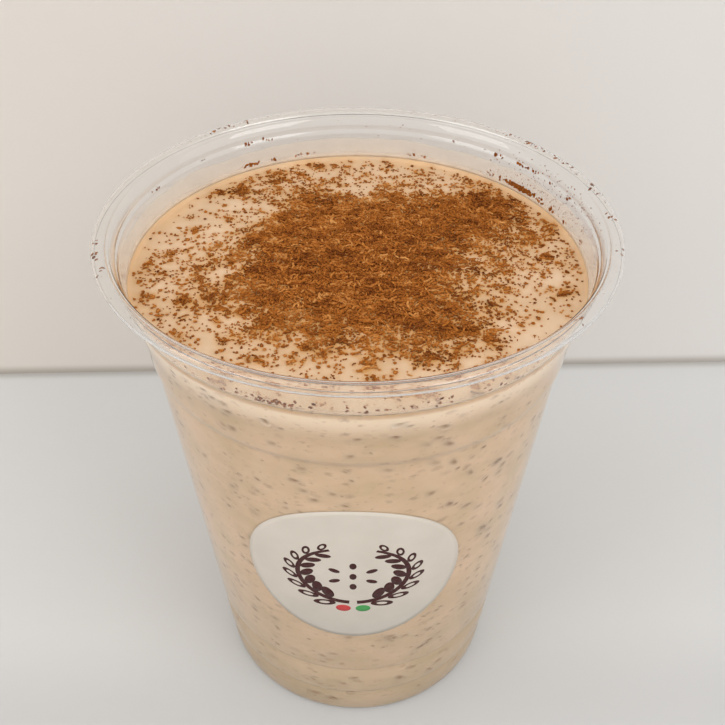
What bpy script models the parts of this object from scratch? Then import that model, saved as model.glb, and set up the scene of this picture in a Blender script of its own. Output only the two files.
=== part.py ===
"""Rice pudding in a clear plastic cup with a round paper label.

Metres, +Z up. The origin is the centre of the cup's base, and the label faces -Y.
The cup stands on a ring foot round a raised base panel. Its tapered side ends in a
groove, above which a stacking collar flares out to the rolled rim.
"""

import math

import bmesh
import bpy

# Cup: sizes of the outer surface.
MOUTH_RADIUS = 0.0490
HEIGHT = 0.1161
WALL = 0.0005
SEGMENTS = 72

RIM_TUBE_WIDTH = 0.0027
RIM_TUBE_HEIGHT = 0.0024
RIM_STEPS = 10
COLLAR_TOP_RADIUS = 0.0452
COLLAR_MID_RADIUS = 0.0443
COLLAR_MID_Z = 0.1070
COLLAR_FOOT_RADIUS = 0.0422
COLLAR_FOOT_Z = 0.0972
SHOULDER_RADIUS = 0.0418
SHOULDER_Z = 0.0935
GROOVE_RADIUS = 0.0410
GROOVE_Z = 0.0918
UPPER_RING_RADIUS = 0.0341
UPPER_RING_Z = 0.0198
LOWER_RING_RADIUS = 0.0331
LOWER_RING_Z = 0.0093
RING_STEP = 0.0002
RING_STEP_HEIGHT = 0.0004
HEEL_RADIUS = 0.0323
HEEL_ROUND = 0.0015
HEEL_STEPS = 4
FOOT_INNER_RADIUS = 0.0272
PANEL_RADIUS = 0.0250
PANEL_RISE = 0.0036

# Pudding: it fills the cup to its level and climbs a little where it meets the wall.
GAP = 0.0003
PUDDING_LEVEL = 0.1054
EDGE_CLIMB = 0.0010
EDGE_WIDTH = 0.0011
TOP_WAVE = 0.0002
TOP_RINGS = 5

# Label: a round sticker that follows the tapered side.
LABEL_RADIUS = 0.0216
LABEL_CENTRE_Z = 0.0572
LABEL_TURN = math.radians(-1.1)
LABEL_THICKNESS = 0.0002
LABEL_RINGS = 4
LABEL_SECTORS = 36


def clear_scene():
    for item in list(bpy.data.objects):
        bpy.data.objects.remove(item)


def make_material(name, colour, roughness, transmission=0.0):
    material = bpy.data.materials.new(name)
    material.use_nodes = True
    shader = material.node_tree.nodes["Principled BSDF"]
    shader.inputs["Base Color"].default_value = (*colour, 1.0)
    shader.inputs["Roughness"].default_value = roughness
    shader.inputs["Metallic"].default_value = 0.0
    shader.inputs["Transmission Weight"].default_value = transmission
    return material


def add_object(name, mesh_data, material):
    """Makes a smooth-shaded object from a bmesh and gives it its material."""
    bmesh.ops.recalc_face_normals(mesh_data, faces=mesh_data.faces)
    mesh = bpy.data.meshes.new(name)
    mesh_data.to_mesh(mesh)
    mesh_data.free()
    mesh.materials.append(material)
    mesh.shade_smooth()
    mesh.set_sharp_from_angle(angle=math.radians(35))
    item = bpy.data.objects.new(name, mesh)
    bpy.context.scene.collection.objects.link(item)
    return item


def turned(profile):
    """Spins an outline of (radius, z) points, from axis to axis, into a closed mesh."""
    mesh_data = bmesh.new()
    points = [mesh_data.verts.new((radius, 0.0, z)) for radius, z in profile]
    edges = [mesh_data.edges.new(pair) for pair in zip(points[:-1], points[1:])]
    bmesh.ops.spin(
        mesh_data,
        geom=points + edges,
        cent=(0.0, 0.0, 0.0),
        axis=(0.0, 0.0, 1.0),
        angle=math.tau,
        steps=SEGMENTS,
        use_merge=True,
    )
    bmesh.ops.remove_doubles(mesh_data, verts=mesh_data.verts, dist=1e-6)
    return mesh_data


def arc(centre_radius, centre_z, width, height, start_deg, end_deg, steps):
    """Points on an upright elliptical arc, from one angle to the other."""
    points = []
    for step in range(steps + 1):
        angle = math.radians(start_deg + (end_deg - start_deg) * step / steps)
        radius = centre_radius + width * math.cos(angle)
        points.append((radius, centre_z + height * math.sin(angle)))
    return points


def side_outline():
    """The outer side of the cup from the heel up to the top of the collar."""
    heel = arc(
        HEEL_RADIUS - HEEL_ROUND, HEEL_ROUND, HEEL_ROUND, HEEL_ROUND, -90, 0, HEEL_STEPS
    )
    rings = []
    for radius, z in (
        (LOWER_RING_RADIUS, LOWER_RING_Z),
        (UPPER_RING_RADIUS, UPPER_RING_Z),
    ):
        rings.append((radius - RING_STEP, z - RING_STEP_HEIGHT))
        rings.append((radius, z))
    collar = [
        (GROOVE_RADIUS, GROOVE_Z),
        (SHOULDER_RADIUS, SHOULDER_Z),
        (COLLAR_FOOT_RADIUS, COLLAR_FOOT_Z),
        (COLLAR_MID_RADIUS, COLLAR_MID_Z),
        (COLLAR_TOP_RADIUS, HEIGHT - RIM_TUBE_HEIGHT),
    ]
    return heel + rings + collar


def radius_at(outline, z):
    """The radius of an outline at a height, by straight lines between its points."""
    for (low_radius, low_z), (high_radius, high_z) in zip(outline[:-1], outline[1:]):
        if low_z <= z <= high_z and high_z > low_z:
            share = (z - low_z) / (high_z - low_z)
            return low_radius + share * (high_radius - low_radius)
    return outline[-1][0]


def inner_side(clearance, top):
    """The side outline moved in by a clearance, from the heel up to a height."""
    outline = side_outline()
    points = []
    for radius, z in outline[1:]:
        if z < top:
            points.append((radius - clearance, max(z, clearance)))
    points.append((radius_at(outline, top) - clearance, top))
    return points


def base_floor(lift):
    """The floor seen from inside, from the axis out to the heel."""
    return [
        (0.0, PANEL_RISE + lift),
        (PANEL_RADIUS, PANEL_RISE + lift),
        (FOOT_INNER_RADIUS + lift / 2, lift),
        (HEEL_RADIUS - HEEL_ROUND - lift / 2, lift),
    ]


def make_cup():
    tube_centre = MOUTH_RADIUS - RIM_TUBE_WIDTH / 2
    rim = arc(
        tube_centre,
        HEIGHT - RIM_TUBE_HEIGHT / 2,
        RIM_TUBE_WIDTH / 2,
        RIM_TUBE_HEIGHT / 2,
        -90,
        210,
        RIM_STEPS,
    )
    inside = inner_side(WALL, HEIGHT - RIM_TUBE_HEIGHT)
    profile = base_floor(0.0) + side_outline()[1:] + rim
    profile += list(reversed(inside)) + list(reversed(base_floor(WALL)))
    clear_plastic = make_material("clear plastic", (0.95, 0.96, 0.96), 0.05, 1.0)
    return add_object("cup", turned(profile), clear_plastic)


def pudding_top():
    """The surface from the wall in to the axis: a climbing edge, then gentle waves."""
    wall_radius = radius_at(side_outline(), PUDDING_LEVEL + EDGE_CLIMB) - WALL - GAP
    points = [(wall_radius - EDGE_WIDTH / 2, PUDDING_LEVEL + EDGE_CLIMB / 3)]
    inner_radius = wall_radius - EDGE_WIDTH
    for ring in range(TOP_RINGS):
        radius = inner_radius * (1 - ring / TOP_RINGS)
        wave = TOP_WAVE * math.sin(3.0 * math.pi * ring / TOP_RINGS)
        points.append((radius, PUDDING_LEVEL + wave))
    points.append((0.0, PUDDING_LEVEL + TOP_WAVE))
    return points


def make_pudding():
    clearance = WALL + GAP
    side = inner_side(clearance, PUDDING_LEVEL + EDGE_CLIMB)
    profile = base_floor(clearance) + side + pudding_top()
    mesh_data = turned(profile)
    for point in mesh_data.verts:
        distance = math.hypot(point.co.x, point.co.y)
        if point.co.z > PUDDING_LEVEL - TOP_WAVE and distance < 0.9 * COLLAR_FOOT_RADIUS:
            swell = math.sin(150.0 * point.co.x + 1.0) * math.sin(110.0 * point.co.y)
            point.co.z += TOP_WAVE * swell
    cream = make_material("cinnamon rice cream", (0.76, 0.56, 0.36), 0.35)
    return add_object("pudding", mesh_data, cream)


def label_point(ring_radius, turn, lift):
    """A point of the label, wrapped on the tapered side and lifted off it."""
    side_slope = (GROOVE_RADIUS - UPPER_RING_RADIUS) / (GROOVE_Z - UPPER_RING_Z)
    run_up = math.hypot(1.0, side_slope)
    z = LABEL_CENTRE_Z + ring_radius * math.sin(turn) / run_up
    wall_radius = UPPER_RING_RADIUS + side_slope * (z - UPPER_RING_Z)
    angle = LABEL_TURN + ring_radius * math.cos(turn) / wall_radius
    radius = wall_radius + lift
    return (radius * math.sin(angle), -radius * math.cos(angle), z)


def make_label():
    mesh_data = bmesh.new()
    layers = []
    for lift in (GAP, GAP + LABEL_THICKNESS):
        centre = mesh_data.verts.new(label_point(0.0, 0.0, lift))
        rings = []
        for ring in range(1, LABEL_RINGS + 1):
            ring_radius = LABEL_RADIUS * ring / LABEL_RINGS
            turns = [math.tau * sector / LABEL_SECTORS for sector in range(LABEL_SECTORS)]
            rings.append([mesh_data.verts.new(label_point(ring_radius, t, lift)) for t in turns])
        layers.append(rings)
        for sector in range(LABEL_SECTORS):
            following = (sector + 1) % LABEL_SECTORS
            mesh_data.faces.new((centre, rings[0][sector], rings[0][following]))
            for inner, outer in zip(rings[:-1], rings[1:]):
                corners = (inner[sector], outer[sector], outer[following], inner[following])
                mesh_data.faces.new(corners)
    back_edge = layers[0][-1]
    front_edge = layers[1][-1]
    for sector in range(LABEL_SECTORS):
        following = (sector + 1) % LABEL_SECTORS
        corners = (back_edge[sector], back_edge[following])
        mesh_data.faces.new(corners + (front_edge[following], front_edge[sector]))
    paper = make_material("label paper", (0.62, 0.58, 0.52), 0.6)
    return add_object("label", mesh_data, paper)


clear_scene()
make_cup()
make_pudding()
make_label()
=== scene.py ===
"""Rice pudding in a clear plastic cup: ground cinnamon over the top, a round label on the side."""

import math

import bmesh
import bpy
import numpy as np
from mathutils import Matrix, Vector, noise


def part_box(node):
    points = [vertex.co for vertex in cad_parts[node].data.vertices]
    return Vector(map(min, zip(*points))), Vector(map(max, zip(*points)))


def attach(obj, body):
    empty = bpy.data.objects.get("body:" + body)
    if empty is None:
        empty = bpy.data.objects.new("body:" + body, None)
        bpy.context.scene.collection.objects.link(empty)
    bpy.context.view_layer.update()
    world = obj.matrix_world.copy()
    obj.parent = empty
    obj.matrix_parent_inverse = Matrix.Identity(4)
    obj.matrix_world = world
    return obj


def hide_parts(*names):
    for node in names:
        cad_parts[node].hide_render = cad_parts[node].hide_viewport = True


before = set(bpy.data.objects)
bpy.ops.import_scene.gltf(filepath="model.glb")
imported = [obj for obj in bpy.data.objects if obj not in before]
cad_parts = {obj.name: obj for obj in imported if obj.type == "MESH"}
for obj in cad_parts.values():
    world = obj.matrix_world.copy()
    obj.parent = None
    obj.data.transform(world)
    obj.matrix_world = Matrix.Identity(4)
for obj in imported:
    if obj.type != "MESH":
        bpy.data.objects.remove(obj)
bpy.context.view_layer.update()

# ---------------------------------------------------------------------------------------
# The table and the board behind it. A pale laminated table top carries the cup, and a
# plain warm board stands close behind. Neither is part of the object. The board shows
# from the front only, so that the cup can be seen from behind too.
# ---------------------------------------------------------------------------------------


def new_material(name):
    """An empty node material: returns it with its Principled shader."""
    material = bpy.data.materials.new(name)
    material.use_nodes = True
    return material, material.node_tree.nodes["Principled BSDF"]


def add_node(tree, kind, inputs=None, **settings):
    """Adds a node, sets its own settings, and sets or links the inputs named."""
    node = tree.nodes.new(kind)
    for key, value in settings.items():
        setattr(node, key, value)
    for key, value in (inputs or {}).items():
        if isinstance(value, bpy.types.NodeSocket):
            tree.links.new(value, node.inputs[key])
        else:
            node.inputs[key].default_value = value
    return node


def colour_ramp(tree, factor, *stops):
    """A colour ramp's output: each stop is a place from 0 to 1 and a colour."""
    ramp = add_node(tree, "ShaderNodeValToRGB", {"Fac": factor})
    elements = ramp.color_ramp.elements
    elements[0].position, elements[0].color = stops[0][0], (*stops[0][1], 1.0)
    elements[1].position, elements[1].color = stops[-1][0], (*stops[-1][1], 1.0)
    for place, colour in stops[1:-1]:
        elements.new(place).color = (*colour, 1.0)
    return ramp.outputs["Color"]


def multiplied(tree, first, second):
    """Two colours multiplied together."""
    product = add_node(tree, "ShaderNodeMix", data_type="RGBA", blend_type="MULTIPLY")
    product.inputs[0].default_value = 1.0
    tree.links.new(first, product.inputs[6])
    tree.links.new(second, product.inputs[7])
    return product.outputs[2]


def deselect_all():
    bpy.ops.object.select_all(action="DESELECT")


table_size = 3.0
board_distance = 0.0955
board_height = 1.2
board_yaw = math.radians(2.2)
joint_shade = 0.0040

deselect_all()
bpy.ops.mesh.primitive_plane_add(size=table_size)
table = bpy.context.object
table.name = "table_top"
table_material, shader = new_material("pale table")
tree = table_material.node_tree
place = add_node(tree, "ShaderNodeTexCoord")
cloud = add_node(tree, "ShaderNodeTexNoise", {"Vector": place.outputs["Object"], "Scale": 9.0})
tint = colour_ramp(tree, cloud.outputs["Fac"], (0.0, (0.61, 0.61, 0.605)), (1.0, (0.64, 0.64, 0.635)))
facing = (-math.sin(board_yaw), math.cos(board_yaw), 0.0)
reach = add_node(tree, "ShaderNodeVectorMath", {0: place.outputs["Object"], 1: facing}, operation="DOT_PRODUCT")
joint = board_distance * math.cos(board_yaw)
# Painted shade: the table darkens towards its joint with the board, where shade falls in the corner.
near = add_node(
    tree, "ShaderNodeMapRange", {"Value": reach.outputs["Value"], "From Min": joint - joint_shade, "From Max": joint}
)
near.interpolation_type = "SMOOTHSTEP"
shade = colour_ramp(tree, near.outputs[0], (0.0, (1.0, 1.0, 1.0)), (1.0, (0.72, 0.70, 0.67)))
# Painted shade: the table is painted darker towards the front, where less light falls.
front = add_node(tree, "ShaderNodeMapRange", {"Value": reach.outputs["Value"], "From Min": -0.034, "From Max": -0.006})
front.interpolation_type = "SMOOTHSTEP"
painted_front_shade = colour_ramp(tree, front.outputs[0], (0.0, (0.87, 0.87, 0.875)), (1.0, (1.0, 1.0, 1.0)))
shaded = multiplied(tree, multiplied(tree, tint, shade), painted_front_shade)
tree.links.new(shaded, shader.inputs["Base Color"])
shader.inputs["Roughness"].default_value = 0.5
table.data.materials.append(table_material)

deselect_all()
bpy.ops.mesh.primitive_plane_add(size=1.0, location=(0.0, board_distance, board_height / 2))
board = bpy.context.object
board.name = "board"
board.scale = (table_size, board_height, 1.0)
board.rotation_euler = (math.radians(90.0), 0.0, board_yaw)
bpy.ops.object.transform_apply(location=True, rotation=True, scale=True)
board_material, shader = new_material("warm board")
shader.inputs["Roughness"].default_value = 0.8
tree = board_material.node_tree
place = add_node(tree, "ShaderNodeTexCoord")
height = add_node(tree, "ShaderNodeSeparateXYZ", {"Vector": place.outputs["Object"]})
# Painted shade: the board darkens at its foot, along the joint with the table.
foot = add_node(tree, "ShaderNodeMapRange", {"Value": height.outputs["Z"], "From Max": joint_shade})
foot.interpolation_type = "SMOOTHSTEP"
# Painted light: the board is painted lighter and cooler towards the right, where more light falls.
across = add_node(tree, "ShaderNodeMapRange", {"Value": height.outputs["X"], "From Min": -0.12, "From Max": 0.14})
warm = colour_ramp(tree, across.outputs[0], (0.0, (0.695, 0.645, 0.595)), (1.0, (0.705, 0.685, 0.665)))
shade = colour_ramp(tree, foot.outputs[0], (0.0, (0.62, 0.60, 0.57)), (1.0, (1.0, 1.0, 1.0)))
tree.links.new(multiplied(tree, warm, shade), shader.inputs["Base Color"])
side = add_node(tree, "ShaderNodeNewGeometry")
clear = add_node(tree, "ShaderNodeBsdfTransparent")
mix = add_node(tree, "ShaderNodeMixShader", {0: side.outputs["Backfacing"]})
tree.links.new(shader.outputs["BSDF"], mix.inputs[1])
tree.links.new(clear.outputs["BSDF"], mix.inputs[2])
tree.links.new(mix.outputs["Shader"], tree.nodes["Material Output"].inputs["Surface"])
board.data.materials.append(board_material)

# The light: a pale sky, a little brighter overhead, as in a white room, and a wide soft box
# at each side, so that the cup throws hardly any shadow.
scene = bpy.context.scene
scene.view_settings.view_transform = "Standard"
scene.world = bpy.data.worlds.new("room light")
scene.world.use_nodes = True
tree = scene.world.node_tree
place = add_node(tree, "ShaderNodeTexCoord")
height = add_node(tree, "ShaderNodeSeparateXYZ", {"Vector": place.outputs["Generated"]})
sky = colour_ramp(
    tree, height.outputs["Z"], (0.0, (0.80, 0.79, 0.77)), (0.4, (0.90, 0.89, 0.875)), (0.9, (0.96, 0.955, 0.945))
)
tree.links.new(sky, tree.nodes["Background"].inputs["Color"])
tree.nodes["Background"].inputs["Strength"].default_value = 1.30


def soft_box(name, place, target, width, height, watts):
    lamp = bpy.data.lights.new(name, "AREA")
    lamp.shape = "RECTANGLE"
    lamp.size = width
    lamp.size_y = height
    lamp.energy = watts
    item = bpy.data.objects.new(name, lamp)
    scene.collection.objects.link(item)
    item.location = place
    item.rotation_euler = (Vector(target) - Vector(place)).to_track_quat("-Z", "Y").to_euler()


soft_box("window_right", (1.0, -0.8, 1.1), (0.0, 0.0, 0.08), 0.9, 0.9, 5.0)
soft_box("window_left", (-1.1, -0.6, 0.9), (0.0, 0.0, 0.08), 0.9, 0.9, 3.6)

# The camera looks down at the cup from the label's side.
camera_pitch = math.radians(39.47)
camera_roll = math.radians(0.44)
camera_distance = 0.198
camera_target = Vector((0.001, 0.0, 0.0809))
camera_data = bpy.data.cameras.new("camera")
camera_data.lens = 46.7
camera_data.sensor_width = 36.0
camera_data.clip_start = 0.01
camera = bpy.data.objects.new("camera", camera_data)
scene.collection.objects.link(camera)
back_off = Vector((0.0, -math.cos(camera_pitch), math.sin(camera_pitch))) * camera_distance
turn = Matrix.Rotation(math.pi / 2 - camera_pitch, 4, "X") @ Matrix.Rotation(camera_roll, 4, "Z")
camera.matrix_world = Matrix.Translation(camera_target + back_off) @ turn
scene.camera = camera

# ---------------------------------------------------------------------------------------
# The cup: one sheet of clear PET, blown thin against a mould. The sheet runs from the
# raised panel of the base over the ring foot, up the tapered side and the stacking collar,
# and its lip is rolled over outwards into a bead, whose edge points down and in.
# ---------------------------------------------------------------------------------------

cup_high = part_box("cup")[1]
wall = 0.00026
turns = 256
cup_height = cup_high[2] - 0.000002
mouth_radius = cup_high[0]
bead_width = 0.0027
bead_height = 0.0024
groove_radius = 0.0410
groove_z = 0.0918
upper_ring = (0.0341, 0.0198)
lower_ring = (0.0331, 0.0093)
panel_rise = 0.0036
foot_radius = 0.0289
heel_radius = 0.0323
heel_round = 0.0015


def arc(radius, z, width, height, start, end, steps):
    """Points (radius, z) on an upright elliptical arc between two angles in degrees."""
    points = []
    for step in range(steps + 1):
        angle = math.radians(start + (end - start) * step / steps)
        points.append((radius + width * math.cos(angle), z + height * math.sin(angle)))
    return points


def moulded_ring(ring):
    """The outside of a ring moulded round the side: the wall steps in under it."""
    radius, z = ring
    return [
        (radius - 0.00024, z - 0.0011), (radius - 0.00052, z - 0.0006), (radius - 0.00054, z - 0.0002),
        (radius - 0.00010, z + 0.0001), (radius + 0.00006, z + 0.0004), (radius + 0.00010, z + 0.0009),
    ]


def middle_of_wall():
    """The sheet's middle line from the edge of the base panel up to the collar's crease."""
    half = wall / 2
    panel_edge = arc(0.0243, panel_rise - 0.0010 + half, 0.0010, 0.0010, 90, 20, 4)
    foot_inside = arc(0.0277, 0.0011 + half, 0.0011, 0.0011, 200, 270, 4)
    heel = arc(heel_radius - heel_round, heel_round, heel_round - half, heel_round - half, -90, 0, 6)
    ring_radius, ring_z = upper_ring
    taper = (groove_radius - ring_radius) / (groove_z - ring_z)
    side = []
    for step in range(1, 16):
        z = ring_z + (groove_z - ring_z) * step / 16
        side.append((ring_radius + taper * (z - ring_z), z))
    collar = [
        (groove_radius - 0.00012, groove_z - 0.0007), (groove_radius - 0.00010, groove_z - 0.0002),
        (0.04122, 0.0923), (0.04158, 0.0928), (0.04180, 0.0936), (0.04198, 0.0953),
        (0.04218, 0.0972), (0.04250, 0.0990), (0.04294, 0.1010), (0.04340, 0.1030),
        (0.04388, 0.1050), (0.04430, 0.1070), (0.04464, 0.1090), (0.04490, 0.1110),
        (0.04496, 0.1116),
    ]
    outside = [(r - half, z) for r, z in moulded_ring(lower_ring) + moulded_ring(upper_ring) + side + collar]
    return panel_edge + foot_inside + heel + outside


def lip():
    """The middle line of the crease, the flare above it and the curled bead."""
    half = wall / 2
    centre_radius = mouth_radius - bead_width / 2
    centre_z = cup_height - bead_height / 2
    across = bead_width / 2 - half
    up = bead_height / 2 - half
    crease = [(0.04500, 0.1119), (0.04524, 0.1121), (0.04530, 0.1124), (0.04520, 0.1127)]
    flare = [(0.04524, 0.1132), (0.04556, 0.1140), (0.04590, 0.1146), (0.04606, 0.11475), (0.04628, 0.11478)]
    return crease + flare + arc(centre_radius, centre_z, across, up, 176, -42, 22)


def turn_sheet(name, first_z, outline, sides):
    """Draws a round sheet upwards ring by ring, as on a wheel, from a disc on the axis."""
    deselect_all()
    first_radius = outline[0][0]
    bpy.ops.mesh.primitive_circle_add(
        vertices=sides, radius=first_radius, fill_type="TRIFAN", location=(0, 0, first_z)
    )
    item = bpy.context.object
    item.name = name
    bpy.ops.object.transform_apply(location=True, rotation=True, scale=True)
    bpy.ops.object.mode_set(mode="EDIT")
    bpy.ops.mesh.select_mode(type="EDGE")
    bpy.ops.mesh.select_all(action="SELECT")
    bpy.ops.mesh.region_to_loop()
    radius, z = first_radius, first_z
    for next_radius, next_z in outline:
        bpy.ops.mesh.extrude_edges_move()
        grow = next_radius / radius
        bpy.ops.transform.resize(value=(grow, grow, 1.0), center_override=(0, 0, z))
        bpy.ops.transform.translate(value=(0, 0, next_z - z))
        radius, z = next_radius, next_z
    bpy.ops.object.mode_set(mode="OBJECT")
    return item


def apply_modifier(item, kind, **settings):
    modifier = item.modifiers.new(kind.title(), kind)
    for key, value in settings.items():
        setattr(modifier, key, value)
    bpy.context.view_layer.objects.active = item
    bpy.ops.object.modifier_apply(modifier=modifier.name)


def face_outwards(item):
    """Merges doubles, turns every face outwards and shades the piece smooth."""
    deselect_all()
    item.select_set(True)
    bpy.context.view_layer.objects.active = item
    bpy.ops.object.mode_set(mode="EDIT")
    bpy.ops.mesh.select_all(action="SELECT")
    bpy.ops.mesh.remove_doubles(threshold=1e-6)
    bpy.ops.mesh.normals_make_consistent(inside=False)
    if bmesh.from_edit_mesh(item.data).calc_volume(signed=True) < 0.0:
        bpy.ops.mesh.flip_normals()
    bpy.ops.object.mode_set(mode="OBJECT")
    bpy.ops.object.shade_smooth()


wall_line = middle_of_wall()
cup = turn_sheet("cup_clear", panel_rise + wall / 2, wall_line + lip(), turns)
face_outwards(cup)
apply_modifier(cup, "SOLIDIFY", thickness=wall, offset=0.0, use_even_offset=True)
face_outwards(cup)

plastic, shader = new_material("clear PET")
shader.inputs["Base Color"].default_value = (1.0, 0.995, 0.985, 1.0)
shader.inputs["Roughness"].default_value = 0.03
shader.inputs["IOR"].default_value = 1.5
shader.inputs["Transmission Weight"].default_value = 1.0
tree = plastic.node_tree
place = add_node(tree, "ShaderNodeTexCoord")
ripple = add_node(tree, "ShaderNodeTexNoise", {"Vector": place.outputs["Object"], "Scale": 30.0})
bump = add_node(tree, "ShaderNodeBump", {"Height": ripple.outputs["Fac"], "Distance": 0.0001})
bump.inputs["Strength"].default_value = 0.05
tree.links.new(bump.outputs["Normal"], shader.inputs["Normal"])
path = add_node(tree, "ShaderNodeLightPath")
clear = add_node(tree, "ShaderNodeBsdfTransparent")
clear.inputs["Color"].default_value = (0.97, 0.97, 0.965, 1.0)
mix = add_node(tree, "ShaderNodeMixShader", {0: path.outputs["Is Shadow Ray"]})
tree.links.new(shader.outputs["BSDF"], mix.inputs[1])
tree.links.new(clear.outputs["BSDF"], mix.inputs[2])
tree.links.new(mix.outputs["Shader"], tree.nodes["Material Output"].inputs["Surface"])
cup.data.materials.append(plastic)
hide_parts("cup")
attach(cup, "root")

# ---------------------------------------------------------------------------------------
# The pudding: rice cooked soft in sweet milk until it pours, then set in the cup. It wets
# the plastic all round, so its side takes the wall's form and reaches just into the wall,
# and its top climbs the wall a little. The cinnamon on top stains it.
# ---------------------------------------------------------------------------------------

pudding_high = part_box("pudding")[1]
edge_climb = 0.0010
surface_level = pudding_high[2] - edge_climb
surface_radius = 0.04305

# The cinnamon was shaken on in a few falls: centre (x, y), spread, and how many layers of
# bits lie at the centre. Small clumps fell beside them.
falls = [
    (0.0237, 0.0150, 0.0144, 0.78),
    (0.0248, 0.0199, 0.0044, 2.50),
    (0.0133, -0.0204, 0.0064, 1.20),
    (0.0080, 0.0155, 0.0060, 2.20),
    (-0.0374, -0.0117, 0.0099, 0.30),
    (-0.0058, 0.0165, 0.0056, 2.10),
    (-0.0036, -0.0032, 0.0118, 3.40),
    (-0.0150, 0.0335, 0.0080, 0.46),
]
stray_layers = 0.11
clump_count = 90
draw = np.random.default_rng(17)


def layers_at(x, y):
    """How many layers of cinnamon lie at a place, or at arrays of places."""
    total = stray_layers
    for centre_x, centre_y, spread, layers in falls:
        squared = (x - centre_x) ** 2 + (y - centre_y) ** 2
        total = total + layers * np.exp(-squared / (2.0 * spread**2))
    return total


clumps = []
while len(clumps) < clump_count:
    x, y = draw.uniform(-surface_radius, surface_radius, 2)
    inside = math.hypot(x, y) < surface_radius - 0.0015
    if inside and draw.uniform(0.0, 1.6) < layers_at(x, y) < 1.8:
        clumps.append((x, y, draw.uniform(0.0004, 0.0011), draw.uniform(0.7, 1.7)))
falls += clumps


def radius_on(line, z):
    """The radius of a rising outline at a height."""
    heights = [point[1] for point in line]
    radii = [point[0] for point in line]
    return float(np.interp(z, heights, radii))


side_line = [point for point in wall_line if point[0] > foot_radius]
contact_radius = radius_on(side_line, surface_level + edge_climb)


def surface_height(x, y):
    """Height of the pudding's top: slow waves, grains just under it, the climb at the wall."""
    distance = math.hypot(x, y)
    here = Vector((x * 45.0, y * 45.0, 3.1))
    wave = 0.00016 * noise.noise(here) + 0.00008 * noise.noise(here * 3.3)
    wave += 0.00005 * noise.noise(here * 9.0)
    climb = 0.0
    if distance > surface_radius:
        share = (distance - surface_radius) / (contact_radius - surface_radius)
        climb = edge_climb * min(share, 1.0) ** 1.6
        wave *= max(1.0 - share, 0.0)
    return surface_level + wave + climb


fill_line = [point for point in wall_line if point[1] < surface_level - 0.0003 or point[0] < foot_radius]
near_top = (radius_on(side_line, surface_level + 0.0002), surface_level + 0.0002)
edge_steps = 5
top_rings = 100
top_line = [(contact_radius - 0.00002, surface_level + edge_climb)]
for step in range(1, edge_steps + 1):
    radius = contact_radius + (surface_radius - contact_radius) * step / edge_steps
    top_line.append((radius, surface_level))
for ring in range(1, top_rings):
    top_line.append((surface_radius * (1 - ring / top_rings), surface_level))
pudding = turn_sheet("pudding_body", panel_rise + wall / 2, fill_line + [near_top] + top_line, turns)
bpy.ops.object.mode_set(mode="EDIT")
bpy.ops.mesh.edge_face_add()
bpy.ops.object.mode_set(mode="OBJECT")
face_outwards(pudding)
top_share = pudding.data.attributes.new("top", "FLOAT", "POINT")
edge_share = pudding.data.attributes.new("edge", "FLOAT", "POINT")
spiced_width = 0.0050
for point, share, spiced in zip(pudding.data.vertices, top_share.data, edge_share.data):
    x, y, z = point.co
    if z > surface_level - 0.0001:
        share.value = 1.0
        near_edge = 1.0 - (contact_radius - math.hypot(x, y)) / spiced_width
        spiced.value = max(near_edge, 0.0) ** 1.3 * (0.55 + 0.7 * noise.noise(Vector((x * 120.0, y * 120.0, 8.0))))
        if math.hypot(x, y) < contact_radius - 0.00001:
            point.co.z = surface_height(x, y)


def fleck_group():
    """A shader group: scattered soft flecks as a mask from 0 to 1."""
    group = bpy.data.node_groups.new("scattered flecks", "ShaderNodeTree")
    group.interface.new_socket(name="Vector", in_out="INPUT", socket_type="NodeSocketVector")
    for name in ("Density", "Size", "Softness"):
        group.interface.new_socket(name=name, in_out="INPUT", socket_type="NodeSocketFloat")
    group.interface.new_socket(name="Mask", in_out="OUTPUT", socket_type="NodeSocketFloat")
    start = add_node(group, "NodeGroupInput")
    end = add_node(group, "NodeGroupOutput")
    bend = add_node(group, "ShaderNodeTexNoise", {"Vector": start.outputs["Vector"], "Scale": 1100.0})
    sway = add_node(group, "ShaderNodeVectorMath", {0: bend.outputs["Color"], 3: 0.0016}, operation="SCALE")
    bent = add_node(
        group, "ShaderNodeVectorMath", {0: start.outputs["Vector"], 1: sway.outputs[0]}, operation="ADD"
    )
    cells = add_node(
        group, "ShaderNodeTexVoronoi", {"Vector": bent.outputs[0], "Scale": start.outputs["Density"]}
    )
    chance = add_node(group, "ShaderNodeSeparateColor", {"Color": cells.outputs["Color"]})
    reach = add_node(
        group, "ShaderNodeMath", {0: chance.outputs["Red"], 1: start.outputs["Size"]}, operation="MULTIPLY"
    )
    gap = add_node(
        group, "ShaderNodeMath", {0: reach.outputs[0], 1: cells.outputs["Distance"]}, operation="SUBTRACT"
    )
    edge = add_node(
        group, "ShaderNodeMath", {0: gap.outputs[0], 1: start.outputs["Softness"]}, operation="DIVIDE"
    )
    edge.use_clamp = True
    faint = add_node(
        group, "ShaderNodeMath", {0: edge.outputs[0], 1: chance.outputs["Green"]}, operation="MULTIPLY"
    )
    group.links.new(faint.outputs[0], end.inputs["Mask"])
    return group


def mix_colour(tree, mask, base, over):
    """Lays one colour over another by a mask; a colour is a socket or a plain value."""
    mixer = tree.nodes.new("ShaderNodeMix")
    mixer.data_type = "RGBA"
    for socket, value in ((mixer.inputs[0], mask), (mixer.inputs[6], base), (mixer.inputs[7], over)):
        if isinstance(value, bpy.types.NodeSocket):
            tree.links.new(value, socket)
        else:
            socket.default_value = (*value, 1.0)
    return mixer.outputs[2]


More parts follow.
